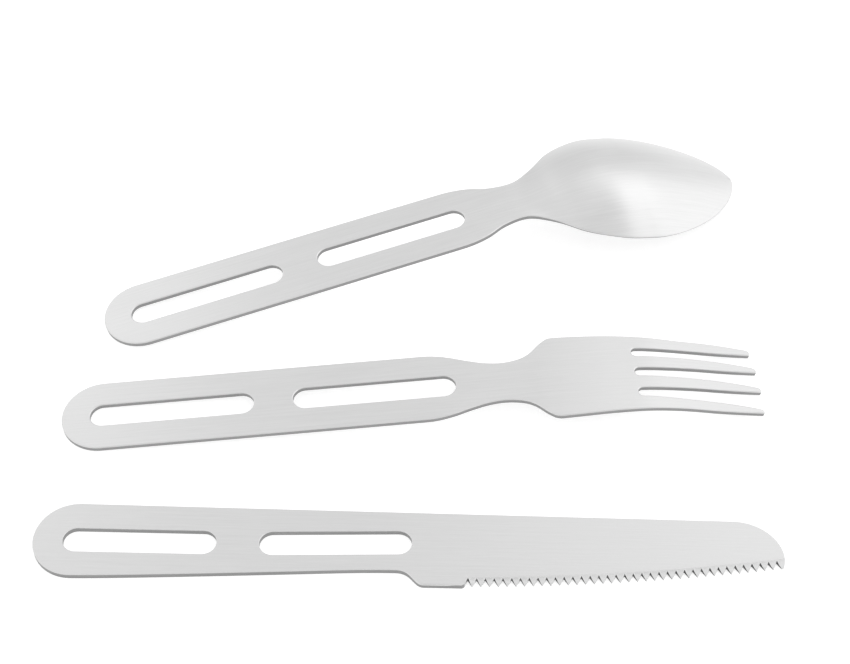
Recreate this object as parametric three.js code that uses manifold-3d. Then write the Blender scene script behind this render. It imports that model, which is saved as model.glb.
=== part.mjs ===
// Picnic cutlery: a knife, a fork and a spoon, each stamped from one sheet of stainless steel.
// Millimetres, +Z up. The three lie side by side on a table at z = 0, handles towards -X.
// The fork and the spoon lie face down, resting on the handle's end and on the tines or the bowl's tip.
// Each piece is drawn in its own frame: x runs from the handle's end to the tip, y across, z up.
import * as THREE from "three";
import { mergeVertices } from "three/addons/utils/BufferGeometryUtils.js";
import Module from "manifold-3d";

const wasm = await Module();
wasm.setup();

// ---- Driving dimensions ----

const SHEET = 1.5; // thickness of the fork's and the spoon's steel
const KNIFE_SHEET = 1.7; // thickness of the knife's
const CUT_DEPTH = 40; // height of every cutter, well past both faces
const ARC_SEGMENTS = 10; // straight steps in each curve of an outline

// The two long slots in each handle. Their ends are half circles.
const SLOT_HALF = 3.66;
const HANDLE_SLOTS = [
  [8.0, 54.2],
  [65.2, 111.3],
];

// Fork and spoon: one handle, with a half-round end.
const HANDLE_HALF = 11.5;

// Knife.
const KNIFE_END_RADIUS = 11.3;
const KNIFE_END_RISE = 0.15;
const SPINE_END = [186.5, 9.66];
const NOSE_CENTRE = [186.5, -1.9];
const NOSE_REACH = 12.8;
const KNIFE_SLOTS = [
  { from: 8.0, to: 49.0, middle: -0.16, turn: -0.14 },
  { from: 60.3, to: 100.9, middle: 0.4, turn: 1.65 },
];
const HEEL_Y = -12.0;
const HEEL_FROM = 104.3;
const HEEL_TO = 114.3;
const TOOTH_COUNT = 37;
const TOOTH_PITCHES = [2.299, 2.217]; // at the heel and at the nose
const TOOTH_DEPTH = 1.95;
const TIP_SHARE = 0.47; // how far a tooth's middle is from one gullet to the next
const FIRST_GULLET = 115.81;
const GULLET_LINE = { start: -9.67, rise: 0.0218, bend: 0.00083 }; // y, along from the first gullet
const EDGE_THICKNESS = 0.2; // what the ground bevel leaves at the tooth tips

// Fork.
const FORK_LENGTH = 198.3;
const FORK_DISH = 1.3; // how far the middle of the tines stands above the outer ones
const TINE_GAPS = [-7.2, 0, 7.2];
const TINE_MIDDLES = { inner: 3.6, outer: 10.6 };
const GAP_ROOT = 163.5;
const GAP_ROOT_HALF = 1.45;
const GAP_MOUTH_HALVES = [1.95, 1.75]; // towards -Y and towards +Y of the gap's middle
const GAP_MOUTH_FROM = 182; // a gap widens from its root up to here
const TIP_CURVE_FROM = 180;
const TIP_CURVE_RADIUS = 88;
const TIP_CORNER = { along: 1.3, across: 0.75 }; // ends the curve on the far side of each tip
const TIPS_ARC_RADIUS = 140; // the ends of the four tines lie on this arc,
const TIPS_ARC_MIDDLE = -2; // which reaches farthest at this y
const TINE_OUTER_HALF = 12.4;

// Spoon.
const BOWL_WIDEST_X = 166;
const BOWL_HALF = 22.95;
const BOWL_TIP_X = 201.1;
const BOWL_CROWN = 9; // height of the crown above the rim
const NECK_X = 127;
const NECK_HALF = 7.3;

// Where each handle's end lies on the table, and how far the piece is turned.
const PLACES = {
  knife: { x: -104.46, y: -73.58, turn: -1.33 },
  fork: { x: -102.42, y: -33.19, turn: 4.11 },
  spoon: { x: -94.33, y: 1.7, turn: 17.72 },
};

// ---- Curves ----

// A smooth line y(x) through a few points, level with the mean slope of the neighbours at each one.
function smoothLine(points) {
  const last = points.length - 1;
  const slopes = points.map((_, i) => {
    const before = points[Math.max(i - 1, 0)];
    const after = points[Math.min(i + 1, last)];
    return (after[1] - before[1]) / (after[0] - before[0]);
  });
  return (x) => {
    let i = 0;
    while (i < last - 1 && points[i + 1][0] < x) i += 1;
    const [x0, y0] = points[i];
    const [x1, y1] = points[i + 1];
    const span = x1 - x0;
    const t = THREE.MathUtils.clamp((x - x0) / span, 0, 1);
    const rise = y1 - y0;
    const a = slopes[i] * span - rise;
    const b = rise - slopes[i + 1] * span;
    return y0 + t * rise + t * (1 - t) * (a * (1 - t) + b * t);
  };
}

// Half width of a round end of the given radius, x from its outermost point.
function roundEnd(x, radius) {
  const inward = Math.max(radius - x, 0);
  return Math.sqrt(Math.max(radius * radius - inward * inward, 0));
}

// ---- Solids ----

function solidOf(geometry) {
  geometry.deleteAttribute("normal");
  geometry.deleteAttribute("uv");
  const merged = mergeVertices(geometry, 1e-4);
  return new wasm.Manifold(
    new wasm.Mesh({
      numProp: 3,
      vertProperties: merged.attributes.position.array,
      triVerts: new Uint32Array(merged.index.array),
    }),
  );
}

function geometryOf(solid) {
  const mesh = solid.getMesh();
  const geometry = new THREE.BufferGeometry();
  geometry.setAttribute("position", new THREE.BufferAttribute(mesh.vertProperties, 3));
  geometry.setIndex(new THREE.BufferAttribute(mesh.triVerts, 1));
  geometry.computeVertexNormals();
  return geometry;
}

function prism(shape, low, high) {
  const options = { depth: high - low, bevelEnabled: false, curveSegments: ARC_SEGMENTS };
  return solidOf(new THREE.ExtrudeGeometry(shape, options).translate(0, 0, low));
}

function cutter(shape) {
  return prism(shape, -CUT_DEPTH / 2, CUT_DEPTH / 2);
}

function slotShape(from, to) {
  const shape = new THREE.Shape();
  shape.absarc(to - SLOT_HALF, 0, SLOT_HALF, -Math.PI / 2, Math.PI / 2);
  shape.absarc(from + SLOT_HALF, 0, SLOT_HALF, Math.PI / 2, (3 * Math.PI) / 2);
  return shape;
}

// A bent sheet: a box with a row of vertices at each station, laid on the surface height(x, y).
// Its upper face lies on the surface, and its lower face one sheet thickness below, square to it.
function bentSheet({ stations, across, halfWidth, height }) {
  const step = 0.01;
  const box = new THREE.BoxGeometry(1, 1, 1, stations.length - 1, across, 1);
  const place = box.attributes.position;
  for (let i = 0; i < place.count; i += 1) {
    const x = stations[Math.round((place.getX(i) + 0.5) * (stations.length - 1))];
    const y = 2 * place.getY(i) * halfWidth(x);
    const point = new THREE.Vector3(x, y, height(x, y));
    if (place.getZ(i) < 0) {
      const slopeX = (height(x + step, y) - height(x - step, y)) / (2 * step);
      const slopeY = (height(x, y + step) - height(x, y - step)) / (2 * step);
      const normal = new THREE.Vector3(-slopeX, -slopeY, 1).normalize();
      point.addScaledVector(normal, -SHEET);
    }
    place.setXYZ(i, point.x, point.y, point.z);
  }
  return solidOf(box);
}

// Stations from a round end of the given radius, and then evenly along each stretch.
function stationsAlong(radius, stretches) {
  const stations = [];
  for (let degrees = 6; degrees < 90; degrees += 12) {
    stations.push(radius * (1 - Math.cos(THREE.MathUtils.degToRad(degrees))));
  }
  for (const { from, to, step } of stretches) {
    const count = Math.round((to - from) / step);
    for (let i = 0; i < count; i += 1) stations.push(from + ((to - from) * i) / count);
  }
  return stations;
}

// ---- Knife ----

// The line of the gullets, which rises towards the nose.
function gulletY(x) {
  const along = x - FIRST_GULLET;
  return GULLET_LINE.start + GULLET_LINE.rise * along + GULLET_LINE.bend * along ** 2;
}

// The teeth get a little narrower towards the nose.
function gulletX(index) {
  const [first, last] = TOOTH_PITCHES;
  return FIRST_GULLET + first * index - ((first - last) * index ** 2) / (2 * (TOOTH_COUNT - 1));
}

// The tip of a tooth, which stands square to the line of the gullets.
function toothTip(index) {
  const x = gulletX(index + TIP_SHARE);
  const slope = GULLET_LINE.rise + 2 * GULLET_LINE.bend * (x - FIRST_GULLET);
  const reach = TOOTH_DEPTH / Math.hypot(1, slope);
  return [x + reach * slope, gulletY(x) - reach];
}

function knifeOutline() {
  const shape = new THREE.Shape();
  const [noseX, noseY] = NOSE_CENTRE;
  shape.moveTo(KNIFE_END_RADIUS, KNIFE_END_RADIUS + KNIFE_END_RISE);
  shape.absarc(KNIFE_END_RADIUS, KNIFE_END_RISE, KNIFE_END_RADIUS, Math.PI / 2, (3 * Math.PI) / 2);
  shape.bezierCurveTo(21, -11.15, 60, -9.2, 80, -8.17);
  shape.bezierCurveTo(86, -7.88, 91, -7.69, 96.8, -7.69);
  shape.bezierCurveTo(101.2, -7.7, 101.4, HEEL_Y, HEEL_FROM, HEEL_Y);
  shape.lineTo(HEEL_TO, HEEL_Y);
  shape.quadraticCurveTo(114.8, HEEL_Y, 115.0, -11.5);
  for (let i = 0; i < TOOTH_COUNT; i += 1) {
    const gullet = gulletX(i);
    shape.lineTo(gullet, gulletY(gullet));
    shape.lineTo(...toothTip(i));
  }
  shape.quadraticCurveTo(noseX + NOSE_REACH, -4.3, noseX + NOSE_REACH, noseY);
  shape.absellipse(noseX, noseY, NOSE_REACH, SPINE_END[1] - noseY, 0, Math.PI / 2);
  shape.closePath();
  return shape;
}

// The wedge that the grinding takes off the upper face, from the gullets down to the tooth tips.
function bevelWedge() {
  const overhang = 3;
  const length = gulletX(TOOTH_COUNT) - FIRST_GULLET + overhang;
  const slope = (KNIFE_SHEET - EDGE_THICKNESS) / TOOTH_DEPTH;
  const box = new THREE.BoxGeometry(1, 1, 1, 24, 1, 1);
  const place = box.attributes.position;
  for (let i = 0; i < place.count; i += 1) {
    const x = FIRST_GULLET + (place.getX(i) + 0.5) * length;
    const outward = place.getY(i) < 0 ? TOOTH_DEPTH + overhang : 0;
    const z = place.getZ(i) > 0 ? KNIFE_SHEET + 1 : KNIFE_SHEET - slope * outward;
    place.setXYZ(i, x, gulletY(x) - outward, z);
  }
  return solidOf(box);
}

function knife() {
  let solid = prism(knifeOutline(), 0, KNIFE_SHEET);
  for (const { from, to, middle, turn } of KNIFE_SLOTS) {
    const centre = (from + to) / 2;
    const half = (to - from) / 2;
    const slot = new THREE.ExtrudeGeometry(slotShape(-half, half), {
      depth: CUT_DEPTH,
      bevelEnabled: false,
      curveSegments: ARC_SEGMENTS,
    });
    slot.rotateZ(THREE.MathUtils.degToRad(turn));
    slot.translate(centre, middle, -CUT_DEPTH / 2);
    solid = solid.subtract(solidOf(slot));
  }
  return solid.subtract(bevelWedge());
}

// ---- Fork ----

const forkSide = smoothLine([
  [HANDLE_HALF, HANDLE_HALF],
  [100, 11.4],
  [105, 11.25],
  [110, 10.2],
  [115, 8.55],
  [120, 7.2],
  [125, 6.75],
  [130, 7.6],
  [133, 9.25],
  [136, 12.2],
  [138.5, 13.95],
  [142, 14.13],
  [154, 13.6],
  [166, 12.95],
  [176, 12.45],
  [184, TINE_OUTER_HALF],
  [FORK_LENGTH, TINE_OUTER_HALF - 0.1],
]);

// Height of the upper face along the head's edges.
const forkEdgeHeight = smoothLine([
  [0, SHEET],
  [105, 6.45],
  [115, 6.85],
  [124, 7.2],
  [130, 7.55],
  [136, 8.0],
  [143, 8.35],
  [152, 8.54],
  [158, 8.42],
  [163, 8.1],
  [167, 7.55],
  [172, 6.5],
  [178, 5.08],
  [184, 3.68],
  [191, 2.33],
  [FORK_LENGTH, 1.15],
]);

function forkHalfWidth(x) {
  return x < HANDLE_HALF ? roundEnd(x, HANDLE_HALF) : forkSide(x);
}

// Each tine is flat from side to side, and the middle two stand a little above the outer two.
function forkHeight(x, y) {
  const dish = FORK_DISH * THREE.MathUtils.smoothstep(x, 157, 184);
  const tine = Math.abs(y) > TINE_GAPS[2] ? TINE_MIDDLES.outer : TINE_MIDDLES.inner;
  const flatness = THREE.MathUtils.smoothstep(x, GAP_ROOT - GAP_ROOT_HALF, 170);
  const level = THREE.MathUtils.lerp(Math.abs(y), tine, flatness);
  return forkEdgeHeight(x) + dish * (1 - (level / TINE_OUTER_HALF) ** 2);
}

// The arc that the tips lie on.
function tipX(y) {
  return FORK_LENGTH - (y - TIPS_ARC_MIDDLE) ** 2 / (2 * TIPS_ARC_RADIUS);
}

// How far the far side of a tip that ends at endX has come in at x.
function tipCurve(x, endX) {
  const slow = Math.max(x - TIP_CURVE_FROM, 0) ** 2 / (2 * TIP_CURVE_RADIUS);
  const turned = Math.max(x - endX + TIP_CORNER.along, 0) / TIP_CORNER.along;
  return slow + TIP_CORNER.across * (1 - Math.sqrt(1 - turned ** 2));
}

// Stations of that curve: even ones, and then those around its corner.
function tipStations(endX) {
  const corner = endX - TIP_CORNER.along;
  const even = Array.from({ length: 6 }, (_, i) => TIP_CURVE_FROM + ((corner - TIP_CURVE_FROM) * i) / 5);
  const around = [0.35, 0.65, 0.88, 1].map((share) => corner + TIP_CORNER.along * share);
  return [...even, ...around];
}

// Distance from a gap's middle to one of its sides.
function gapHalf(x, mouthHalf) {
  const share = (Math.min(x, GAP_MOUTH_FROM) - GAP_ROOT) / (GAP_MOUTH_FROM - GAP_ROOT);
  return THREE.MathUtils.lerp(GAP_ROOT_HALF, mouthHalf, share);
}

function tineGapShape(middle) {
  const shape = new THREE.Shape();
  shape.absarc(GAP_ROOT, middle, GAP_ROOT_HALF, Math.PI / 2, (3 * Math.PI) / 2);
  const [near, far] = GAP_MOUTH_HALVES;
  const endX = tipX(middle - TINE_MIDDLES.inner);
  for (const x of tipStations(endX)) {
    shape.lineTo(x, middle - gapHalf(x, near) - tipCurve(x, endX));
  }
  shape.lineTo(FORK_LENGTH + 2, middle + far);
  shape.lineTo(GAP_MOUTH_FROM, middle + far);
  shape.closePath();
  return shape;
}

function outerTipShape() {
  const outside = TINE_OUTER_HALF + 5;
  const endX = tipX(TINE_MIDDLES.outer);
  const shape = new THREE.Shape();
  shape.moveTo(TIP_CURVE_FROM, outside);
  for (const x of tipStations(endX)) {
    shape.lineTo(x, TINE_OUTER_HALF + 0.05 - tipCurve(x, endX));
  }
  shape.lineTo(FORK_LENGTH + 2, outside);
  shape.closePath();
  return shape;
}

// What lies past the arc of the tips.
function pastTipsShape() {
  const side = TINE_OUTER_HALF + 4;
  const shape = new THREE.Shape();
  shape.moveTo(FORK_LENGTH + 5, -side);
  shape.lineTo(FORK_LENGTH + 5, side);
  for (let i = 0; i <= 16; i += 1) {
    const y = side - (2 * side * i) / 16;
    shape.lineTo(tipX(y), y);
  }
  shape.closePath();
  return shape;
}

function fork() {
  const stations = stationsAlong(HANDLE_HALF, [
    { from: HANDLE_HALF, to: 100, step: 22 },
    { from: 100, to: 130, step: 3 },
    { from: 130, to: 142, step: 1.5 },
    { from: 142, to: FORK_LENGTH, step: 3.2 },
  ]);
  stations.push(FORK_LENGTH + 0.6);
  let solid = bentSheet({ stations, across: 14, halfWidth: forkHalfWidth, height: forkHeight });
  for (const [from, to] of HANDLE_SLOTS) solid = solid.subtract(cutter(slotShape(from, to)));
  for (const middle of TINE_GAPS) solid = solid.subtract(cutter(tineGapShape(middle)));
  return solid.subtract(cutter(outerTipShape())).subtract(cutter(pastTipsShape()));
}

// ---- Spoon ----

const spoonSide = smoothLine([
  [HANDLE_HALF, HANDLE_HALF],
  [106, 11.45],
  [111, 11.2],
  [116, 10.15],
  [121, 8.2],
  [NECK_X, NECK_HALF],
  [131, 8.1],
  [137, 11.9],
  [143, 16.8],
  [149, 19.9],
  [157, 22.4],
  [BOWL_WIDEST_X, BOWL_HALF],
]);

// Height of the upper face along the rim.
const spoonRimHeight = smoothLine([
  [0, SHEET],
  [105, 11.95],
  [115, 12.95],
  [123, 13.8],
  [130, 14.3],
  [137, 13.95],
  [145, 12.85],
  [155, 11.2],
  [175, 6.6],
  [190, 3.25],
  [BOWL_TIP_X, 1.2],
]);

function spoonHalfWidth(x) {
  if (x < HANDLE_HALF) return roundEnd(x, HANDLE_HALF);
  if (x < BOWL_WIDEST_X) return spoonSide(x);
  const along = (x - BOWL_WIDEST_X) / (BOWL_TIP_X - BOWL_WIDEST_X);
  return BOWL_HALF * (1 - Math.min(along, 0.999) ** 1.75) ** 0.63;
}

// The bowl is domed upwards. Its crown fades out in the neck and comes down to the rim at the tip.
function spoonHeight(x, y) {
  if (x <= NECK_X) return spoonRimHeight(x);
  const half = spoonHalfWidth(x);
  const fullness =
    x < BOWL_WIDEST_X
      ? (Math.max(half - NECK_HALF, 0) / (BOWL_HALF - NECK_HALF)) ** 1.2
      : (half / BOWL_HALF) ** 1.6;
  return spoonRimHeight(x) + BOWL_CROWN * fullness * (1 - (y / half) ** 2);
}

function spoon() {
  const stations = stationsAlong(HANDLE_HALF, [
    { from: HANDLE_HALF, to: 100, step: 22 },
    { from: 100, to: NECK_X, step: 3 },
    { from: NECK_X, to: 190, step: 2.6 },
    { from: 190, to: 199, step: 1.8 },
  ]);
  stations.push(199, 200, 200.8);
  let solid = bentSheet({ stations, across: 14, halfWidth: spoonHalfWidth, height: spoonHeight });
  for (const [from, to] of HANDLE_SLOTS) solid = solid.subtract(cutter(slotShape(from, to)));
  return solid;
}

// ---- Assembly ----

const group = new THREE.Group();
for (const [name, make] of Object.entries({ knife, fork, spoon })) {
  const steel = new THREE.MeshStandardMaterial({ color: 0xd2d4d5, roughness: 0.38, metalness: 1 });
  const mesh = new THREE.Mesh(geometryOf(make()), steel);
  const { x, y, turn } = PLACES[name];
  mesh.name = name;
  mesh.position.set(x, y, 0);
  mesh.rotation.z = THREE.MathUtils.degToRad(turn);
  group.add(mesh);
}

// The part's origin is the middle of the layout, on the table.
group.updateMatrixWorld(true);
const layout = new THREE.Box3().setFromObject(group, true);
const middle = layout.getCenter(new THREE.Vector3());
for (const mesh of group.children) {
  const own = new THREE.Box3().setFromObject(mesh, true);
  mesh.position.x -= middle.x;
  mesh.position.y -= middle.y;
  mesh.position.z -= own.min.z;
}

export default group;
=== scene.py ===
"""Picnic cutlery: a knife, a fork and a spoon, each stamped from one sheet of brushed stainless steel.

Shapes are worked out in millimetres in each piece's own frame, where x runs from the handle's end to the
tip, y across and z up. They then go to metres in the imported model's frame, at the place of their CAD node.
"""

import math

import bpy
import numpy as np
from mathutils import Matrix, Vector
from mathutils.geometry import delaunay_2d_cdt


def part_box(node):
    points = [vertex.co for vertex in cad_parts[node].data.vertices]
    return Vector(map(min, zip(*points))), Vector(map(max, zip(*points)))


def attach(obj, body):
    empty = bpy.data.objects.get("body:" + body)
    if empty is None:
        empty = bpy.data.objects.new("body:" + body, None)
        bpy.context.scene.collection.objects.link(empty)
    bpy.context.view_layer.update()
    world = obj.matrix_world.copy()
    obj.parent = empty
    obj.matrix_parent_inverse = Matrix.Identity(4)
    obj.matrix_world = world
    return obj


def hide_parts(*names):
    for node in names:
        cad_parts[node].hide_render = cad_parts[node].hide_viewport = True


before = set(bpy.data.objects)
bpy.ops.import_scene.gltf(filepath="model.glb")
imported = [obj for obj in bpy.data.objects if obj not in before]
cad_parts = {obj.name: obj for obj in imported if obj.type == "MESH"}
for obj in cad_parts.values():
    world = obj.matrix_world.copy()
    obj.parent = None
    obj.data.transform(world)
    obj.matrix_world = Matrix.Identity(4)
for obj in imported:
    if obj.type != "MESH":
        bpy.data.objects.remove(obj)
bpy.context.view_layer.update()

MM = 0.001

# ---- Sizes, in millimetres and degrees ----

SHEET = 1.5  # thickness of the fork's and the spoon's steel
KNIFE_SHEET = 1.7  # thickness of the knife's
TURN = {"knife": -1.31, "fork": 4.11, "spoon": 17.72}  # how each piece lies on the table

EDGE_ROUNDING = 0.30  # radius of the fork's and the spoon's upper edges, which the punch drew in
KNIFE_ROUNDING = 0.18  # and of the knife's,
HEEL_ROUNDING = 0.5  # which is blunter at the heel
BURR_ROUNDING = 0.05  # radius of the lower edges, which only lost their burr
EDGE_STEPS = 3
OUTLINE_STEP = 1.6  # longest side of an outline's straight parts
CURVE_STEP = 0.8
FACE_GRID = 1.5  # spacing of the vertices on the faces
ROW_SPACING = 0.87  # of the rows of that grid, as a share of it
EDGE_CLEARANCE = 0.45  # how far that grid keeps from the edges, as a share of it
GRAIN_SCALE = 0.01  # of the grain's coordinates

SLOT_HALF = 3.66
HANDLE_SLOTS = ((8.0, 54.2), (65.2, 111.3))
HANDLE_HALF = 11.5

# Knife
KNIFE_END_RADIUS = 11.3
KNIFE_END_RISE = 0.15
SPINE_END = (186.5, 9.66)
NOSE_CENTRE = (186.5, -1.9)
NOSE_REACH = 12.8
KNIFE_SLOTS = ((8.0, 49.0, -0.16, -0.14), (60.3, 100.9, 0.4, 1.65))
HEEL_Y = -12.0
HEEL_FROM = 104.3
HEEL_TO = 114.3
TOOTH_COUNT = 37
TOOTH_PITCHES = (2.299, 2.217)  # at the heel and at the nose
TOOTH_DEPTH = 1.95
TIP_SHARE = 0.47  # how far a tooth's middle is from one gullet to the next
FIRST_GULLET = 115.81
GULLET_START = -9.67  # y of the line of the gullets: a parabola from the first one
GULLET_RISE = 0.0218
GULLET_BEND = 0.00083
EDGE_THICKNESS = 0.2  # what the ground bevel leaves at the tooth tips
TOOTH_ROUNDING = 0.05  # radius of the teeth's corners, seen from above
GRIND_LINE_RISE = 0.26  # the bevel starts this far above the gullets
GRIND_LINE_SOFTNESS = 0.2  # width over which it blends into the face
TOOTH_EDGE = 0.02  # rounding of the edges along the teeth

# Fork
FORK_LENGTH = 198.3
FORK_DISH = 1.3  # how far the middle of the tines stands above the outer ones
TINE_GAPS = (-7.2, 0.0, 7.2)
TINE_MIDDLES = (3.6, 10.6)
GAP_ROOT = 163.5
GAP_ROOT_HALF = 1.45
GAP_MOUTH_HALVES = (1.95, 1.75)
GAP_MOUTH_FROM = 182.0
TIP_CURVE_FROM = 180.0
TIP_CURVE_RADIUS = 88.0
TIP_CORNER_ALONG = 1.3  # the corner that ends the curve on the far side of each tip
TIP_CORNER_ACROSS = 0.75
TIPS_ARC_RADIUS = 140.0  # the ends of the four tines lie on this arc,
TIPS_ARC_MIDDLE = -2.0  # which reaches farthest at this y
TINE_OUTER_HALF = 12.4
TIP_ROUNDING = 0.42  # radius of the corners of the tips, seen from above
TIP_EDGE = 0.40  # rounding of the tines' edges at their tips

# Spoon
BOWL_WIDEST_X = 166.0
BOWL_HALF = 22.95
BOWL_TIP_X = 201.1
BOWL_CROWN = 9.0  # height of the crown above the rim
BOWL_ALONG_POWER = 1.75  # of the curve that the bowl's front half follows in plan
BOWL_ACROSS_POWER = 0.63
BOWL_FILL_POWERS = (1.2, 1.6)  # how the crown fades behind the widest point and in front of it
NECK_X = 127.0
NECK_HALF = 7.3


# ---- Curves ----


def smooth_line(points):
    """A smooth line y(x) through a few points, with the mean slope of the neighbours at each one."""
    last = len(points) - 1
    slopes = []
    for i in range(last + 1):
        x0, y0 = points[max(i - 1, 0)]
        x1, y1 = points[min(i + 1, last)]
        slopes.append((y1 - y0) / (x1 - x0))

    def line(x):
        i = 0
        while i < last - 1 and points[i + 1][0] < x:
            i += 1
        (x0, y0), (x1, y1) = points[i], points[i + 1]
        span, rise = x1 - x0, y1 - y0
        t = min(max((x - x0) / span, 0.0), 1.0)
        a = slopes[i] * span - rise
        b = rise - slopes[i + 1] * span
        return y0 + t * rise + t * (1 - t) * (a * (1 - t) + b * t)

    return line


def smoothstep(x, low, high):
    t = min(max((x - low) / (high - low), 0.0), 1.0)
    return t * t * (3 - 2 * t)


def arc(cx, cy, rx, ry, start, end, steps):
    """Points on an ellipse's arc from one angle to another, in degrees, both ends included."""
    angles = [math.radians(start + (end - start) * i / steps) for i in range(steps + 1)]
    return [(cx + rx * math.cos(a), cy + ry * math.sin(a)) for a in angles]


def bezier(p0, p1, p2, p3, steps):
    """A cubic curve's points after p0."""
    found = []
    for i in range(1, steps + 1):
        t = i / steps
        w = ((1 - t) ** 3, 3 * t * (1 - t) ** 2, 3 * t * t * (1 - t), t**3)
        found.append(tuple(sum(k * p[n] for k, p in zip(w, (p0, p1, p2, p3))) for n in (0, 1)))
    return found


def spaced(low, high, step):
    count = max(1, round(abs(high - low) / step))
    return [low + (high - low) * i / count for i in range(count + 1)]


def finished(points):
    """A closed outline from points (x, y) or (x, y, corner radius): corners rounded, long sides divided."""
    count = len(points)
    rounded = []
    for i, point in enumerate(points):
        radius = point[2] if len(point) > 2 else 0.0
        here = np.array(point[:2])
        if not radius:
            rounded.append(here)
            continue
        back = np.array(points[i - 1][:2]) - here
        on = np.array(points[(i + 1) % count][:2]) - here
        back /= np.linalg.norm(back)
        on /= np.linalg.norm(on)
        half_angle = math.acos(max(-1.0, min(1.0, float(back @ on)))) / 2
        reach = radius / math.tan(half_angle)
        centre = here + (back + on) / np.linalg.norm(back + on) * radius / math.sin(half_angle)
        first, last = here + back * reach - centre, here + on * reach - centre
        for k in range(5):
            share = k / 4
            spoke = first * (1 - share) + last * share
            rounded.append(centre + spoke / np.linalg.norm(spoke) * radius)
    divided = []
    for i, here in enumerate(rounded):
        there = rounded[(i + 1) % len(rounded)]
        length = float(np.linalg.norm(there - here))
        if length < 1e-4:
            continue
        pieces = max(1, math.ceil(length / OUTLINE_STEP))
        divided += [here + (there - here) * k / pieces for k in range(pieces)]
    return np.array(divided)


def slot_outline(start, end, middle=0.0, turn=0.0):
    """A slot with half-round ends, clockwise, so that the steel is on its left as on the outer outline."""
    half = (end - start) / 2
    points = arc(half - SLOT_HALF, 0, SLOT_HALF, SLOT_HALF, 90, -90, 20)
    points += arc(SLOT_HALF - half, 0, SLOT_HALF, SLOT_HALF, 270, 90, 20)
    c, s = math.cos(math.radians(turn)), math.sin(math.radians(turn))
    x0 = (start + end) / 2
    return finished([(x0 + x * c - y * s, middle + x * s + y * c) for x, y in points])


# ---- Sheets ----

BRUSHED, CUT, PUNCHED, SHADED_FLANK = range(4)  # a piece's materials: faces, outer edge, slots, teeth's left-facing flanks in painted shade
EDGE_WEAR_AND_SHEEN = (0.0, 0.23, 0.33, 0.08)  # how much brighter the rounding is, from the face to the wall: rubbed by handling, and partly a painted highlight
BEVEL_PAINTED_LIGHT = 1.0  # painted light: how much brighter the ground bevel is made
WALL_GRAIN = 60.0  # where the walls' grain lies, clear of the faces'


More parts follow.
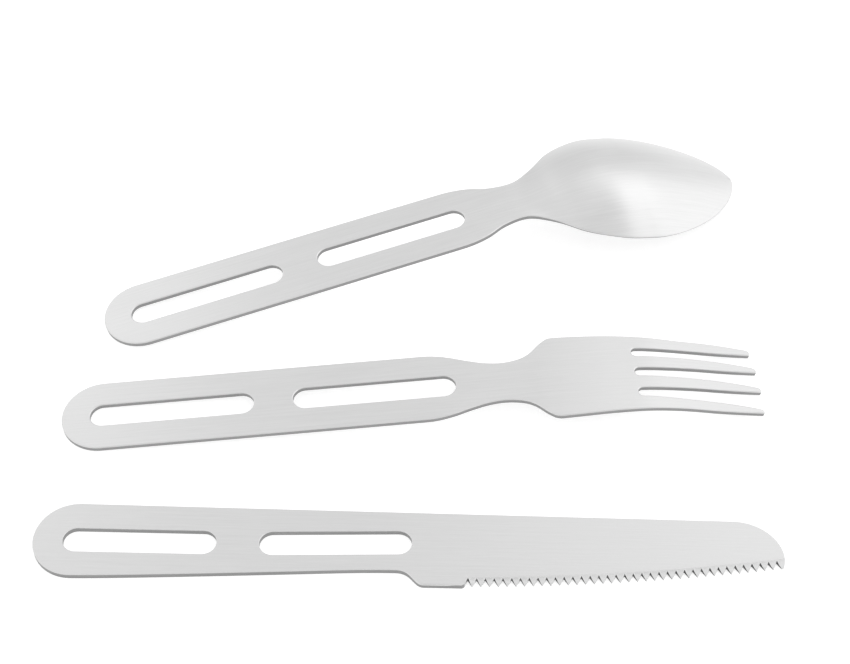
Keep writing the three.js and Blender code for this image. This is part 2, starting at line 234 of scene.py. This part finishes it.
class Sheet:
    """A stamped sheet: outlines seen from above, and the height of its upper face."""

    def __init__(self, outer, holes, height, thickness=None, edge=None, wall=None, creases=(), grain=None):
        self.loops = [outer, *holes]
        self.height = height
        self.thickness = thickness  # of a flat piece ground thinner; None for a bent sheet of even thickness
        self.edge = edge or (lambda x, y: EDGE_ROUNDING)
        self.wall = wall or (lambda x, y, nx: CUT)
        self.creases = creases
        self.grain = grain or (lambda x, y: y)

    def normal(self, x, y):
        step = 0.02
        slope_x = (self.height(x + step, y) - self.height(x - step, y)) / (2 * step)
        slope_y = (self.height(x, y + step) - self.height(x, y - step)) / (2 * step)
        return Vector((-slope_x, -slope_y, 1)).normalized()

    def down(self, x, y):
        """From a point of the upper face to the point of the lower face under it."""
        if self.thickness:
            return Vector((0, 0, -self.thickness(x, y)))
        return self.normal(x, y) * -SHEET

    def painted_bevel_light(self, up):
        """How much painted light brightens the upper face's ground bevel: 0 where it is only brushed."""
        return BEVEL_PAINTED_LIGHT if self.thickness and up.z < 0.999 else 0.0

    def mesh(self, name):
        verts, normals, uvs, wear_and_painted_light = [], [], [], []

        def add(point, normal, uv, worn_and_lit):
            verts.append(point)
            normals.append(normal)
            uvs.append(uv)
            wear_and_painted_light.append(worn_and_lit)
            return len(verts) - 1

        faces, kinds = [], []
        rims, inset_loops = [], []
        for n, loop in enumerate(self.loops):
            sides = np.roll(loop, -1, 0) - loop
            outward = np.stack([sides[:, 1], -sides[:, 0]], 1)  # its length is the side's
            outward += np.roll(outward, 1, 0)
            outward /= np.linalg.norm(outward, axis=1, keepdims=True)
            run = np.concatenate([[0], np.cumsum(np.linalg.norm(sides, axis=1))])
            rings = []
            inset = []
            for i, (x, y) in enumerate(loop):
                nx, ny = outward[i]
                rounding = self.edge(x, y)
                inset.append(Vector((x - nx * rounding, y - ny * rounding)))
                up = self.normal(x, y)
                below = self.down(x, y)
                drop = below.normalized()
                rise = -(up.x * nx + up.y * ny) / up.z
                out = Vector((nx, ny, 0 if self.thickness else rise)).normalized()
                lower = Vector((0, 0, -1)) if self.thickness else -up
                column = []
                for k in range(EDGE_STEPS + 1):
                    a = math.radians(90 * k / EDGE_STEPS)
                    for side in (0, 1):
                        radius = min(rounding, BURR_ROUNDING) if side else rounding
                        inward = radius * (1 - math.sin(a)) if k else rounding
                        depth = radius * (1 - math.cos(a))
                        px, py = x - nx * inward, y - ny * inward
                        base = Vector((px, py, self.height(px, py)))
                        if side:
                            base += self.down(px, py)
                        facing = (lower if side else up) * math.cos(a) + out * math.sin(a)
                        across = y + ny * depth if k else py
                        uv = (px, self.grain(px, across))
                        if k == EDGE_STEPS:
                            uv = (run[i], WALL_GRAIN + side * below.length)
                        way = -drop if side else drop
                        # painted highlight on the roundings and painted light on the ground bevel, with the
                        # rubbed wear
                        worn_and_lit = EDGE_WEAR_AND_SHEEN[k] if side else max(EDGE_WEAR_AND_SHEEN[k], self.painted_bevel_light(up))
                        column.append(add(base + way * depth, facing.normalized(), uv, worn_and_lit))
                rings.append(column)
            inset_loops.append(inset)
            rims.append(rings)
            count = len(loop)
            for i in range(count):
                a, b = rings[i], rings[(i + 1) % count]
                side_facing = sides[i][1] / np.linalg.norm(sides[i])
                for k in range(EDGE_STEPS):
                    upper = (a[2 * k], a[2 * k + 2], b[2 * k + 2], b[2 * k])
                    faces.append(upper)
                    faces.append((b[2 * k + 1], b[2 * k + 3], a[2 * k + 3], a[2 * k + 1]))
                    kinds += [BRUSHED, BRUSHED]
                last = 2 * EDGE_STEPS
                faces.append((a[last], a[last + 1], b[last + 1], b[last]))
                kinds.append(PUNCHED if n else self.wall(*loop[i], side_facing))

        points, links, known = [], [], []
        for inset, rings in zip(inset_loops, rims):
            start = len(points)
            points += inset
            known += [(column[0], column[1]) for column in rings]
            links += [(start + i, start + (i + 1) % len(inset)) for i in range(len(inset))]
        for line in self.creases:
            start = len(points)
            points += line
            links += [(start + i, start + i + 1) for i in range(len(line) - 1)]
        corners = np.array([p for inset in inset_loops for p in inset])
        ends = np.concatenate([np.roll(np.array(inset), -1, 0) for inset in inset_loops])
        inner = self.inside_points(corners, ends)
        points += inner
        cdt = delaunay_2d_cdt([Vector(p) for p in points], links, [], 0, 1e-7)
        plan, triangles, origins = cdt[0], cdt[2], cdt[3]
        upper_of, lower_of = [], []
        for i, p in enumerate(plan):
            source = min(origins[i]) if origins[i] else None
            if source is not None and source < len(known):
                upper, lower = known[source]
            else:
                x, y = p
                up = self.normal(x, y)
                top = Vector((x, y, self.height(x, y)))
                uv = (x, self.grain(x, y))
                upper = add(top, up, uv, self.painted_bevel_light(up))
                facing = Vector((0, 0, -1)) if self.thickness else -up
                lower = add(top + self.down(x, y), facing, uv, 0.0)
            upper_of.append(upper)
            lower_of.append(lower)
        flat = np.array([tuple(p) for p in plan], float)
        middles = flat[np.array(triangles)].mean(1)
        kept = self.within(middles, corners, ends)
        for t, keep in zip(triangles, kept):
            if keep:
                a, b, c = t
                faces.append((upper_of[a], upper_of[b], upper_of[c]))
                faces.append((lower_of[c], lower_of[b], lower_of[a]))
                kinds += [BRUSHED, BRUSHED]
        return self.object(name, verts, faces, kinds, normals, uvs, wear_and_painted_light)

    @staticmethod
    def within(tested, starts, ends):
        """Which points are on the steel: a ray towards +X crosses the outlines an odd number of times."""
        odd = np.zeros(len(tested), bool)
        for (x0, y0), (x1, y1) in zip(starts, ends):
            if y0 == y1:
                continue
            spans = (tested[:, 1] >= min(y0, y1)) & (tested[:, 1] < max(y0, y1))
            crossing = x0 + (tested[:, 1] - y0) / (y1 - y0) * (x1 - x0)
            odd ^= spans & (crossing > tested[:, 0])
        return odd

    def inside_points(self, starts, ends):
        """A staggered grid of points on the face, kept clear of the outlines and of the creases."""
        low, high = starts.min(0), starts.max(0)
        rows = []
        for k, y in enumerate(np.arange(low[1], high[1], FACE_GRID * ROW_SPACING)):
            xs = np.arange(low[0] + (k % 2) * FACE_GRID / 2, high[0], FACE_GRID)
            rows.append(np.stack([xs, np.full(len(xs), y)], 1))
        grid = np.concatenate(rows)
        grid = grid[self.within(grid, starts, ends)]
        for line in self.creases:
            line = np.array(line)
            starts = np.concatenate([starts, line[:-1]])
            ends = np.concatenate([ends, line[1:]])
        nearest = np.full(len(grid), 1e9)
        for a, b in zip(starts, ends):
            ab = b - a
            t = np.clip(((grid - a) @ ab) / max(float(ab @ ab), 1e-12), 0, 1)
            gap = np.linalg.norm(grid - a - t[:, None] * ab, axis=1)
            nearest = np.minimum(nearest, gap)
        return [tuple(p) for p in grid[nearest > EDGE_CLEARANCE * FACE_GRID]]

    @staticmethod
    def object(name, verts, faces, kinds, normals, uvs, wear_and_painted_light):
        node = name.split("_")[0]
        a = math.radians(TURN[node])
        c, s = math.cos(a), math.sin(a)
        turned = np.array([(v.x * c - v.y * s, v.x * s + v.y * c, v.z) for v in verts])
        low = turned.min(0) * MM
        turned = turned * MM + (np.array(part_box(node)[0]) - low)
        facing = [(v.x * c - v.y * s, v.x * s + v.y * c, v.z) for v in normals]
        data = bpy.data.meshes.new(name)
        data.from_pydata(turned.tolist(), [], faces)
        data.polygons.foreach_set("material_index", kinds)
        data.polygons.foreach_set("use_smooth", [True] * len(faces))
        grain = data.uv_layers.new(name="grain")
        corner_verts = np.zeros(len(data.loops), np.int32)
        data.loops.foreach_get("vertex_index", corner_verts)
        grain.data.foreach_set("uv", np.array(uvs, np.float32)[corner_verts].ravel() * GRAIN_SCALE)
        worn_and_lit = data.attributes.new("wear_and_painted_light", "FLOAT", "POINT")
        worn_and_lit.data.foreach_set("value", np.array(wear_and_painted_light, np.float32))
        data.normals_split_custom_set_from_vertices(facing)
        data.update()
        made = bpy.data.objects.new(name, data)
        bpy.context.scene.collection.objects.link(made)
        return made


# ---- Knife ----


def gullet_y(x):
    """The line of the gullets, which rises towards the nose."""
    along = x - FIRST_GULLET
    return GULLET_START + GULLET_RISE * along + GULLET_BEND * along * along


def gullet_x(index):
    """The teeth get a little narrower towards the nose."""
    first, last = TOOTH_PITCHES
    return FIRST_GULLET + first * index - (first - last) * index**2 / (2 * (TOOTH_COUNT - 1))


def tooth_tip(index):
    """The tip of a tooth, which stands square to the line of the gullets."""
    x = gullet_x(index + TIP_SHARE)
    slope = GULLET_RISE + 2 * GULLET_BEND * (x - FIRST_GULLET)
    reach = TOOTH_DEPTH / math.hypot(1, slope)
    return (x + reach * slope, gullet_y(x) - reach)


def grind_line_y(x):
    return gullet_y(x) + GRIND_LINE_RISE * smoothstep(x, FIRST_GULLET, FIRST_GULLET + 1)


def knife_thickness(x, y):
    """The bevel's flat is ground from the grind line down to the tooth tips, on the upper face only."""
    if x <= FIRST_GULLET:
        return KNIFE_SHEET
    slope = (KNIFE_SHEET - EDGE_THICKNESS) / TOOTH_DEPTH
    below = grind_line_y(x) - y
    eased = below if below > GRIND_LINE_SOFTNESS else max(below, 0) ** 2 / GRIND_LINE_SOFTNESS
    return KNIFE_SHEET - slope * min(eased, TOOTH_DEPTH)


def knife_edge(x, y):
    if x > FIRST_GULLET - 1.5 and y < grind_line_y(x) + 0.4:
        return TOOTH_EDGE
    heel = smoothstep(x, 99, 103) * (1 - smoothstep(x, 110, 113)) if y < 0 else 0
    return KNIFE_ROUNDING + (HEEL_ROUNDING - KNIFE_ROUNDING) * heel


def knife_wall(x, y, facing):
    """Painted shade on one flank of each tooth: the left-facing flank gets dark steel and the other the
    faces' bright steel, as if lit from the right.
    """
    if x < FIRST_GULLET - 1 or y > gullet_y(x) + 0.1:
        return CUT
    return SHADED_FLANK if facing < 0 else BRUSHED


def knife_outline():
    nose_x, nose_y = NOSE_CENTRE
    radius, rise = KNIFE_END_RADIUS, KNIFE_END_RISE
    points = arc(radius, rise, radius, radius, 90, 270, 36)
    low = points[-1]
    points += bezier(low, (21, -11.15), (60, -9.2), (80, -8.17), 44)
    points += bezier((80, -8.17), (86, -7.88), (91, -7.69), (96.8, -7.69), 12)
    points += bezier((96.8, -7.69), (101.2, -7.7), (101.4, HEEL_Y), (HEEL_FROM, HEEL_Y), 16)
    points += [(HEEL_TO, HEEL_Y, 0.35), (115.0, -11.5, 0.35)]
    for i in range(TOOTH_COUNT):
        gullet = gullet_x(i)
        points.append((gullet, gullet_y(gullet), TOOTH_ROUNDING))
        points.append((*tooth_tip(i), TOOTH_ROUNDING))
    start = points[-1][:2]
    end = (nose_x + NOSE_REACH, nose_y)
    bend = (nose_x + NOSE_REACH, -4.3)
    mixed = [tuple(s + (b - s) * 2 / 3 for s, b in zip(p, bend)) for p in (start, end)]
    points += bezier(start, mixed[0], mixed[1], end, 6)
    points += arc(nose_x, nose_y, NOSE_REACH, SPINE_END[1] - nose_y, 0, 90, 32)[1:]
    spine = spaced(SPINE_END[0], radius, OUTLINE_STEP)[1:-1]
    fall = (SPINE_END[1] - (radius + rise)) / (SPINE_END[0] - radius)
    points += [(x, radius + rise + fall * (x - radius)) for x in spine]
    return finished(points)


def knife():
    outline = knife_outline()
    slots = [slot_outline(*slot) for slot in KNIFE_SLOTS]
    line_x = spaced(FIRST_GULLET + 0.3, NOSE_CENTRE[0] + NOSE_REACH - 0.6, TOOTH_PITCHES[0] / 2)
    creases = [[(x, grind_line_y(x) - drop) for x in line_x] for drop in (0.0, GRIND_LINE_SOFTNESS)]
    return Sheet(
        outline,
        slots,
        height=knife_thickness,
        thickness=knife_thickness,
        edge=knife_edge,
        wall=knife_wall,
        creases=creases,
    ).mesh("knife_sheet")


# ---- Fork ----

fork_side = smooth_line(
    [
        (HANDLE_HALF, HANDLE_HALF),
        (100, 11.4),
        (105, 11.25),
        (110, 10.2),
        (115, 8.55),
        (120, 7.2),
        (125, 6.75),
        (130, 7.6),
        (133, 9.25),
        (136, 12.2),
        (138.5, 13.95),
        (142, 14.13),
        (154, 13.6),
        (166, 12.95),
        (176, 12.45),
        (184, TINE_OUTER_HALF),
        (FORK_LENGTH, TINE_OUTER_HALF - 0.1),
    ]
)

fork_edge_height = smooth_line(
    [
        (0, SHEET),
        (105, 6.45),
        (115, 6.85),
        (124, 7.2),
        (130, 7.55),
        (136, 8.0),
        (143, 8.35),
        (152, 8.54),
        (158, 8.42),
        (163, 8.1),
        (167, 7.55),
        (172, 6.5),
        (178, 5.08),
        (184, 3.68),
        (191, 2.33),
        (FORK_LENGTH, 1.15),
    ]
)


def fork_height(x, y):
    """Each tine is flat from side to side, and the middle two stand a little above the outer two."""
    dish = FORK_DISH * smoothstep(x, 157, 184)
    tine = math.copysign(TINE_MIDDLES[abs(y) > TINE_GAPS[2]], y)
    level = y + (tine - y) * smoothstep(x, GAP_ROOT - GAP_ROOT_HALF, 170)
    return fork_edge_height(x) + dish * (1 - (level / TINE_OUTER_HALF) ** 2)


def tip_x(y):
    """The arc that the tips lie on."""
    return FORK_LENGTH - (y - TIPS_ARC_MIDDLE) ** 2 / (2 * TIPS_ARC_RADIUS)


def tip_curve(x, end_x):
    """How far the far side of a tip that ends at end_x has come in at x."""
    slow = max(x - TIP_CURVE_FROM, 0) ** 2 / (2 * TIP_CURVE_RADIUS)
    turned = max(x - end_x + TIP_CORNER_ALONG, 0) / TIP_CORNER_ALONG
    return slow + TIP_CORNER_ACROSS * (1 - math.sqrt(max(1 - turned**2, 0)))


def tip_stations(start, end_x, step):
    """Stations of a tine's far side: even ones, and then those around the corner at its tip."""
    corner = end_x - TIP_CORNER_ALONG
    around = [corner + TIP_CORNER_ALONG * math.sin(math.radians(15 * k)) for k in range(1, 7)]
    return spaced(start, corner, step) + around


def gap_half(x, mouth_half):
    share = (min(x, GAP_MOUTH_FROM) - GAP_ROOT) / (GAP_MOUTH_FROM - GAP_ROOT)
    return GAP_ROOT_HALF + (mouth_half - GAP_ROOT_HALF) * share


def far_side(x):
    if x < TIP_CURVE_FROM:
        return fork_side(x)
    return min(fork_side(x), TINE_OUTER_HALF + 0.05 - tip_curve(x, tip_x(TINE_MIDDLES[1])))


def fork_outline():
    points = arc(HANDLE_HALF, 0, HANDLE_HALF, HANDLE_HALF, 90, 270, 36)
    handle_x = spaced(HANDLE_HALF, 100, OUTLINE_STEP)[1:]
    near_tip = tip_x(-TINE_OUTER_HALF)
    points += [(x, -fork_side(x)) for x in handle_x + spaced(100, near_tip, CURVE_STEP)[1:-1]]
    points.append((near_tip, -fork_side(near_tip), TIP_ROUNDING))
    near, far = GAP_MOUTH_HALVES
    for middle in TINE_GAPS:
        end_x = tip_x(middle - TINE_MIDDLES[0])
        side_x = tip_stations(GAP_ROOT, end_x, 1.1)
        points += [(x, middle - gap_half(x, near) - tip_curve(x, end_x)) for x in reversed(side_x)]
        points += arc(GAP_ROOT, middle, GAP_ROOT_HALF, GAP_ROOT_HALF, 270, 90, 16)[1:]
        next_tip = tip_x(middle + TINE_MIDDLES[0])
        points += [(x, middle + gap_half(x, far)) for x in spaced(GAP_ROOT, next_tip, 1.1)[1:-1]]
        points.append((next_tip, middle + far, TIP_ROUNDING))
    far_x = tip_stations(100, tip_x(TINE_MIDDLES[1]), CURVE_STEP)
    points += [(x, far_side(x)) for x in reversed(handle_x[:-1] + far_x)]
    return finished(points)


def fork_edge(x, y):
    return EDGE_ROUNDING + (TIP_EDGE - EDGE_ROUNDING) * smoothstep(x, 184, 196)


def fork():
    slots = [slot_outline(*slot) for slot in HANDLE_SLOTS]
    return Sheet(fork_outline(), slots, height=fork_height, edge=fork_edge).mesh("fork_sheet")


# ---- Spoon ----

spoon_side = smooth_line(
    [
        (HANDLE_HALF, HANDLE_HALF),
        (106, 11.45),
        (111, 11.2),
        (116, 10.15),
        (121, 8.2),
        (NECK_X, NECK_HALF),
        (131, 8.1),
        (137, 11.9),
        (143, 16.8),
        (149, 19.9),
        (157, 22.4),
        (BOWL_WIDEST_X, BOWL_HALF),
    ]
)

spoon_rim_height = smooth_line(
    [
        (0, SHEET),
        (105, 11.95),
        (115, 12.95),
        (123, 13.8),
        (130, 14.3),
        (137, 13.95),
        (145, 12.85),
        (155, 11.2),
        (175, 6.6),
        (190, 3.25),
        (BOWL_TIP_X, 1.2),
    ]
)


def spoon_half_width(x):
    if x < BOWL_WIDEST_X:
        return spoon_side(x)
    along = (x - BOWL_WIDEST_X) / (BOWL_TIP_X - BOWL_WIDEST_X)
    return BOWL_HALF * (1 - min(along, 0.999) ** BOWL_ALONG_POWER) ** BOWL_ACROSS_POWER


def spoon_height(x, y):
    if x <= NECK_X:
        return spoon_rim_height(x)
    half = spoon_half_width(x)
    if x < BOWL_WIDEST_X:
        fullness = (max(half - NECK_HALF, 0) / (BOWL_HALF - NECK_HALF)) ** BOWL_FILL_POWERS[0]
    else:
        fullness = (half / BOWL_HALF) ** BOWL_FILL_POWERS[1]
    return spoon_rim_height(x) + BOWL_CROWN * fullness * (1 - (y / half) ** 2)


def spoon_outline():
    points = arc(HANDLE_HALF, 0, HANDLE_HALF, HANDLE_HALF, 90, 270, 36)
    side_x = spaced(HANDLE_HALF, 100, OUTLINE_STEP)[1:] + spaced(100, BOWL_WIDEST_X, CURVE_STEP)[1:]
    points += [(x, -spoon_half_width(x)) for x in side_x]
    reach = BOWL_TIP_X - BOWL_WIDEST_X
    rim = []
    for i in range(1, 64):
        a = math.radians(180 * i / 64 - 90)
        x = BOWL_WIDEST_X + reach * math.cos(a) ** (2 / BOWL_ALONG_POWER)
        rim.append((x, math.copysign(BOWL_HALF * abs(math.sin(a)) ** (2 * BOWL_ACROSS_POWER), a)))
    points += rim
    points += [(x, spoon_half_width(x)) for x in reversed(side_x)]
    return finished(points)


def spoon_grain(x, y):
    """The brushing follows the bowl's sides a little, so the lines spread where it is wide."""
    half = spoon_half_width(min(x, BOWL_WIDEST_X)) if x > NECK_X else HANDLE_HALF
    return y * (HANDLE_HALF / max(half, HANDLE_HALF)) ** 0.4


def spoon():
    slots = [slot_outline(*slot) for slot in HANDLE_SLOTS]
    return Sheet(spoon_outline(), slots, height=spoon_height, grain=spoon_grain).mesh("spoon_sheet")


# ---- Materials ----


def new_material(name):
    material = bpy.data.materials.new(name)
    material.use_nodes = True
    nodes = material.node_tree.nodes
    return material, nodes, material.node_tree.links, nodes["Principled BSDF"]


def brushed_steel(name, seed, base, roughness, anisotropic=0.55, tone=0.03, bump=0.08, worn_and_lit=0.12):
    """Satin stainless: fine lines along the sheet's length, in its tone, its roughness and its relief."""
    material, nodes, links, shader = new_material(name)
    shader.inputs["Metallic"].default_value = 1.0
    shader.inputs["Anisotropic"].default_value = anisotropic
    shader.inputs["Anisotropic Rotation"].default_value = 0.25

    grain = nodes.new("ShaderNodeUVMap")
    grain.uv_map = "grain"

    def streaks(scale_along, scale_across, detail, offset):
        place = nodes.new("ShaderNodeMapping")
        place.inputs["Scale"].default_value = (scale_along, scale_across, 1)
        place.inputs["Location"].default_value = (offset + seed, seed * 1.7, seed)
        links.new(grain.outputs["UV"], place.inputs["Vector"])
        noise = nodes.new("ShaderNodeTexNoise")
        noise.inputs["Scale"].default_value = 1.0
        noise.inputs["Detail"].default_value = detail
        noise.inputs["Roughness"].default_value = 0.6
        links.new(place.outputs["Vector"], noise.inputs["Vector"])
        return noise.outputs["Fac"]

    fine = streaks(14, 620, 2, 3.1)
    broad = streaks(3.2, 150, 3, 7.7)
    cloud = streaks(4.5, 9, 2, 11.3)

    def ranged(value, low, high, from_low=0.3, from_high=0.7):
        node = nodes.new("ShaderNodeMapRange")
        node.inputs["From Min"].default_value = from_low
        node.inputs["From Max"].default_value = from_high
        node.inputs["To Min"].default_value = low
        node.inputs["To Max"].default_value = high
        links.new(value, node.inputs["Value"])
        return node.outputs["Result"]

    def maths(operation, a, b):
        node = nodes.new("ShaderNodeMath")
        node.operation = operation
        for socket, value in zip(node.inputs, (a, b)):
            if isinstance(value, (int, float)):
                socket.default_value = value
            else:
                links.new(value, socket)
        return node.outputs["Value"]

    wear_and_painted_light = nodes.new("ShaderNodeAttribute")
    wear_and_painted_light.attribute_name = "wear_and_painted_light"

    shade = maths("MULTIPLY", ranged(broad, 1 - tone, 1 + tone), ranged(fine, 1 - tone, 1 + tone))
    shade = maths("MULTIPLY", shade, ranged(cloud, 1 - tone * 0.45, 1 + tone * 0.45))
    # Brighter where the vertices' wear value is high: rubbed edges, with a painted highlight on the
    # roundings and painted light on the knife's ground bevel.
    shade = maths("MULTIPLY", shade, ranged(wear_and_painted_light.outputs["Fac"], 1, 1 + worn_and_lit, 0, 1))
    colour = nodes.new("ShaderNodeMix")
    colour.data_type = "RGBA"
    colour.blend_type = "MULTIPLY"
    colour.inputs["Factor"].default_value = 1
    colour.inputs["A"].default_value = (*base, 1)
    links.new(shade, colour.inputs["B"])
    links.new(colour.outputs["Result"], shader.inputs["Base Color"])

    rough = maths("ADD", ranged(broad, roughness - 0.04, roughness + 0.04), ranged(fine, -0.03, 0.03))
    rough = maths("ADD", rough, ranged(cloud, -0.025, 0.025))
    rough = maths("SUBTRACT", rough, ranged(wear_and_painted_light.outputs["Fac"], 0, 0.08, 0, 1))
    links.new(rough, shader.inputs["Roughness"])

    relief = nodes.new("ShaderNodeBump")
    relief.inputs["Strength"].default_value = bump
    relief.inputs["Distance"].default_value = 0.02 * MM
    links.new(maths("ADD", fine, broad), relief.inputs["Height"])
    links.new(relief.outputs["Normal"], shader.inputs["Normal"])

    tangent = nodes.new("ShaderNodeTangent")
    tangent.direction_type = "UV_MAP"
    tangent.uv_map = "grain"
    links.new(tangent.outputs["Tangent"], shader.inputs["Tangent"])
    return material


# The walls' steel is darker than the faces': partly its rougher cut, and partly painted shade standing in
# for the shaded table that the walls would reflect.
STEEL = (0.617, 0.617, 0.617)
CUT_STEEL_AND_SHADE = (0.285, 0.285, 0.285)
PUNCHED_STEEL_AND_SHADE = (0.29, 0.29, 0.29)
# painted shade: the teeth's left-facing flanks are darkened as if the light came from the right
SHADED_FLANK_STEEL = (0.115, 0.115, 0.115)

for seed, (node, make) in enumerate({"knife": knife, "fork": fork, "spoon": spoon}.items()):
    piece = make()
    shift = 2.3 * seed
    finishes = [
        brushed_steel(node + "_brushed", shift, STEEL, 0.37),
        brushed_steel(node + "_cut_edge", shift + 0.7, CUT_STEEL_AND_SHADE, 0.45, 0.3, 0.08, 0.2, 0.15),
        brushed_steel(node + "_punched_edge", shift + 1.4, PUNCHED_STEEL_AND_SHADE, 0.5, 0.3, 0.1, 0.2, 0.2),
    ]
    if node == "knife":
        finishes.append(brushed_steel("knife_shaded_flank", shift + 2.1, SHADED_FLANK_STEEL, 0.5, 0.3, 0.1, 0.2, 0.1))
    for material in finishes:
        piece.data.materials.append(material)
    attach(piece, node)
    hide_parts(node)

# ---- Floor, light and camera ----

FLOOR_REACH = 3.0  # metres
AMBIENT = 1.125
PANEL_GAIN = 0.43  # how much brighter the panel on the right is than the white room
PANEL_NEAR = (40, 52)  # degrees of azimuth over which the panel begins
PANEL_FAR = (105, 135)
PANEL_TOP = (48, 60)  # degrees of elevation over which it ends
PATCHES = (  # azimuth, elevation, inner and outer radius, gain
    (135, 74, 8, 26, -0.12),
    (4, 20, 8, 34, -0.14),
    (180, 0, 10, 46, -0.4),
)

floor_mesh = bpy.data.meshes.new("floor")
reach = FLOOR_REACH
floor_mesh.from_pydata(
    [(-reach, -reach, 0), (reach, -reach, 0), (reach, reach, 0), (-reach, reach, 0)],
    [],
    [(0, 1, 2, 3)],
)
floor = bpy.data.objects.new("floor", floor_mesh)
bpy.context.scene.collection.objects.link(floor)
floor.location.z = -0.00005
white, _, _, white_shader = new_material("white_floor")
white_shader.inputs["Base Color"].default_value = (0.55, 0.55, 0.55, 1)
white_shader.inputs["Roughness"].default_value = 0.9
white_shader.inputs["Specular IOR Level"].default_value = 0.0
white_shader.inputs["Emission Color"].default_value = (1, 1, 1, 1)
white_shader.inputs["Emission Strength"].default_value = 0.62
floor_mesh.materials.append(white)


def direction(azimuth, elevation):
    """Azimuth 0 is away from the camera and 90 is to its right; elevation is above the table."""
    a, e = math.radians(azimuth), math.radians(elevation)
    return Vector((math.sin(a) * math.cos(e), math.cos(a) * math.cos(e), math.sin(e)))


def white_room():
    """A room of even white light, with one broad soft panel on the right and a few softer patches."""
    world = bpy.data.worlds.new("white_room")
    world.use_nodes = True
    nodes, links = world.node_tree.nodes, world.node_tree.links
    way = nodes.new("ShaderNodeTexCoord").outputs["Generated"]

    def maths(operation, a, b=0.0):
        node = nodes.new("ShaderNodeMath")
        node.operation = operation
        for socket, value in zip(node.inputs, (a, b)):
            if isinstance(value, (int, float)):
                socket.default_value = value
            else:
                links.new(value, socket)
        return node.outputs["Value"]

    def eased(value, low, high, to_low, to_high):
        node = nodes.new("ShaderNodeMapRange")
        node.interpolation_type = "SMOOTHSTEP"
        names = ("From Min", "From Max", "To Min", "To Max")
        for name, number in zip(names, (low, high, to_low, to_high)):
            node.inputs[name].default_value = number
        links.new(value, node.inputs["Value"])
        return node.outputs["Result"]

    axes = nodes.new("ShaderNodeSeparateXYZ")
    links.new(way, axes.inputs["Vector"])
    azimuth = maths("MULTIPLY", maths("ARCTAN2", axes.outputs["X"], axes.outputs["Y"]), 180 / math.pi)
    elevation = maths("MULTIPLY", maths("ARCSINE", axes.outputs["Z"]), 180 / math.pi)
    panel = maths("MULTIPLY", eased(azimuth, *PANEL_NEAR, 0, 1), eased(azimuth, *PANEL_FAR, 1, 0))
    panel = maths("MULTIPLY", panel, eased(elevation, *PANEL_TOP, PANEL_GAIN, 0))
    total = maths("ADD", panel, AMBIENT)
    for patch_azimuth, patch_elevation, inner, outer, gain in PATCHES:
        close = nodes.new("ShaderNodeVectorMath")
        close.operation = "DOT_PRODUCT"
        links.new(way, close.inputs[0])
        close.inputs[1].default_value = direction(patch_azimuth, patch_elevation)
        edge = (math.cos(math.radians(outer)), math.cos(math.radians(inner)))
        total = maths("ADD", total, eased(close.outputs["Value"], *edge, 0, gain))
    background = nodes["Background"]
    links.new(total, background.inputs["Strength"])
    background.inputs["Color"].default_value = (1, 1, 1, 1)
    return world


bpy.context.scene.world = white_room()


def near_panel(name, centre, aim, size, gain):
    """A soft white panel close to the table, gain times as bright as a white wall in light of strength 1."""
    light = bpy.data.lights.new(name, "AREA")
    light.shape = "RECTANGLE"
    light.size, light.size_y = size
    light.energy = gain * math.pi * size[0] * size[1]
    placed = bpy.data.objects.new(name, light)
    placed.location = centre
    placed.rotation_mode = "QUATERNION"
    placed.rotation_quaternion = (Vector(centre) - Vector(aim)).to_track_quat("Z", "Y")
    bpy.context.scene.collection.objects.link(placed)


near_panel("left_panel", (-0.255, 0.235, 0.235), (-0.09, 0.01, 0), (0.2, 0.2), 0.44)
near_panel("back_panel", (0.22, 0.225, 0.40), (0.05, -0.04, 0), (0.40, 0.21), 0.36)
near_panel("right_panel", (0.345, 0.32, 0.417), (0.085, -0.025, 0), (0.2, 0.2), 0.26)

CAMERA_DISTANCE = 0.50481
CAMERA_ELEVATION = 49.30
CAMERA_LENS = 72.55
CAMERA_AIM = (3.51, 6.325, 0)
CAMERA_SHIFT = 0.5 / 850  # half a step of the picture's grid

camera_data = bpy.data.cameras.new("camera")
camera_data.sensor_width = 36
camera_data.lens = CAMERA_LENS
camera_data.clip_start = 0.01
camera = bpy.data.objects.new("camera", camera_data)
bpy.context.scene.collection.objects.link(camera)
aim = Vector(CAMERA_AIM) * MM
tilt = math.radians(CAMERA_ELEVATION)
camera.location = aim + CAMERA_DISTANCE * Vector((0, -math.cos(tilt), math.sin(tilt)))
camera.rotation_euler = (math.pi / 2 - tilt, 0, 0)
camera_data.shift_x = -CAMERA_SHIFT
camera_data.shift_y = CAMERA_SHIFT
bpy.context.scene.camera = camera

bpy.context.scene.view_settings.view_transform = "Standard"
